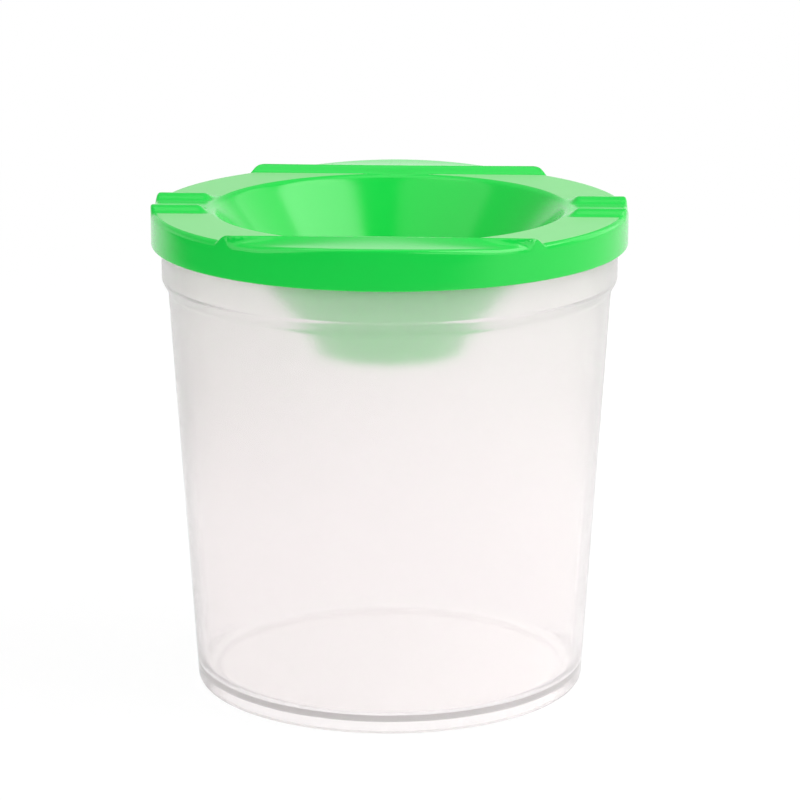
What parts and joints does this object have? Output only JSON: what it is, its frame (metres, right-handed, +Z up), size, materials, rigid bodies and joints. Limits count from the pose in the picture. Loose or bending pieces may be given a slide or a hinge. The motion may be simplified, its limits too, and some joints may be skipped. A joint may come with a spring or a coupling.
{
  "type": "brush washer with lid",
  "caption": "Tapered translucent water cup with a press-on lid: open funnel in the middle, raised pads front and back, grooved brush rests left and right.",
  "frame": {"origin": "centre of the cup's base, on the surface it stands on", "axes": "+Z up along the cup's axis; +X through one brush rest, +Y through the back edge pad, -Y towards the viewer"},
  "size_m": [0.08, 0.08, 0.0832],
  "materials": {
    "clear_cup": "translucent milky polypropylene, satin",
    "green_lid": "satin moulded polypropylene"
  },
  "bodies": {
    "cup": {"cup": "clear_cup"},
    "lid": {"lid": "green_lid"}
  },
  "joints": [
    {"name": "lid_lift", "type": "slide", "parent": "cup", "child": "lid", "axis": [0, 0, 1], "range_m": [0, 0.05]}
  ]
}
